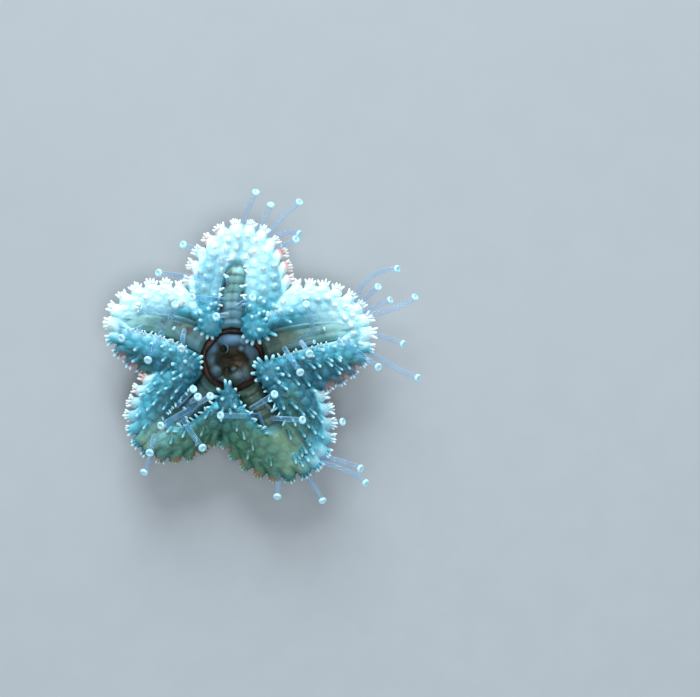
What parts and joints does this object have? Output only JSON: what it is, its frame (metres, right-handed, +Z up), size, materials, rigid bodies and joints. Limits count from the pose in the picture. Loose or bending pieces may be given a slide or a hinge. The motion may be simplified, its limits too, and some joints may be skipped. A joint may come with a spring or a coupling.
{
  "type": "asterina starfish",
  "caption": "Life-size cushion starfish lying on its back, with short blunt arms, grooves, tube feet, jaws and mouth in view.",
  "frame": {"origin": "on the floor under the middle of the mouth, on the flat end of the middle peg of the back", "axes": "+Z up, out of the mouth side, and +Y roughly along the first arm, which is the top one in the picture; the arms are numbered anticlockwise seen from above"},
  "size_m": [0.028, 0.0275, 0.0069],
  "materials": {
    "body_skin": "moist bumpy skin over small plates, blue-green",
    "groove_and_feet": "moist, ribbed, khaki, with clear blue-grey feet",
    "jaws": "moist pale blue plates and stubs",
    "mouth_skin": "wet thin folded skin, grey-olive"
  },
  "bodies": {
    "root": {"disc": "body_skin", "arm_1": "body_skin", "arm_2": "body_skin", "arm_3": "body_skin", "arm_4": "body_skin", "arm_5": "body_skin", "groove_1": "groove_and_feet", "groove_2": "groove_and_feet", "groove_3": "groove_and_feet", "groove_4": "groove_and_feet", "groove_5": "groove_and_feet", "jaw_1": "jaws", "jaw_2": "jaws", "jaw_3": "jaws", "jaw_4": "jaws", "jaw_5": "jaws", "mouth": "mouth_skin"}
  },
  "joints": []
}
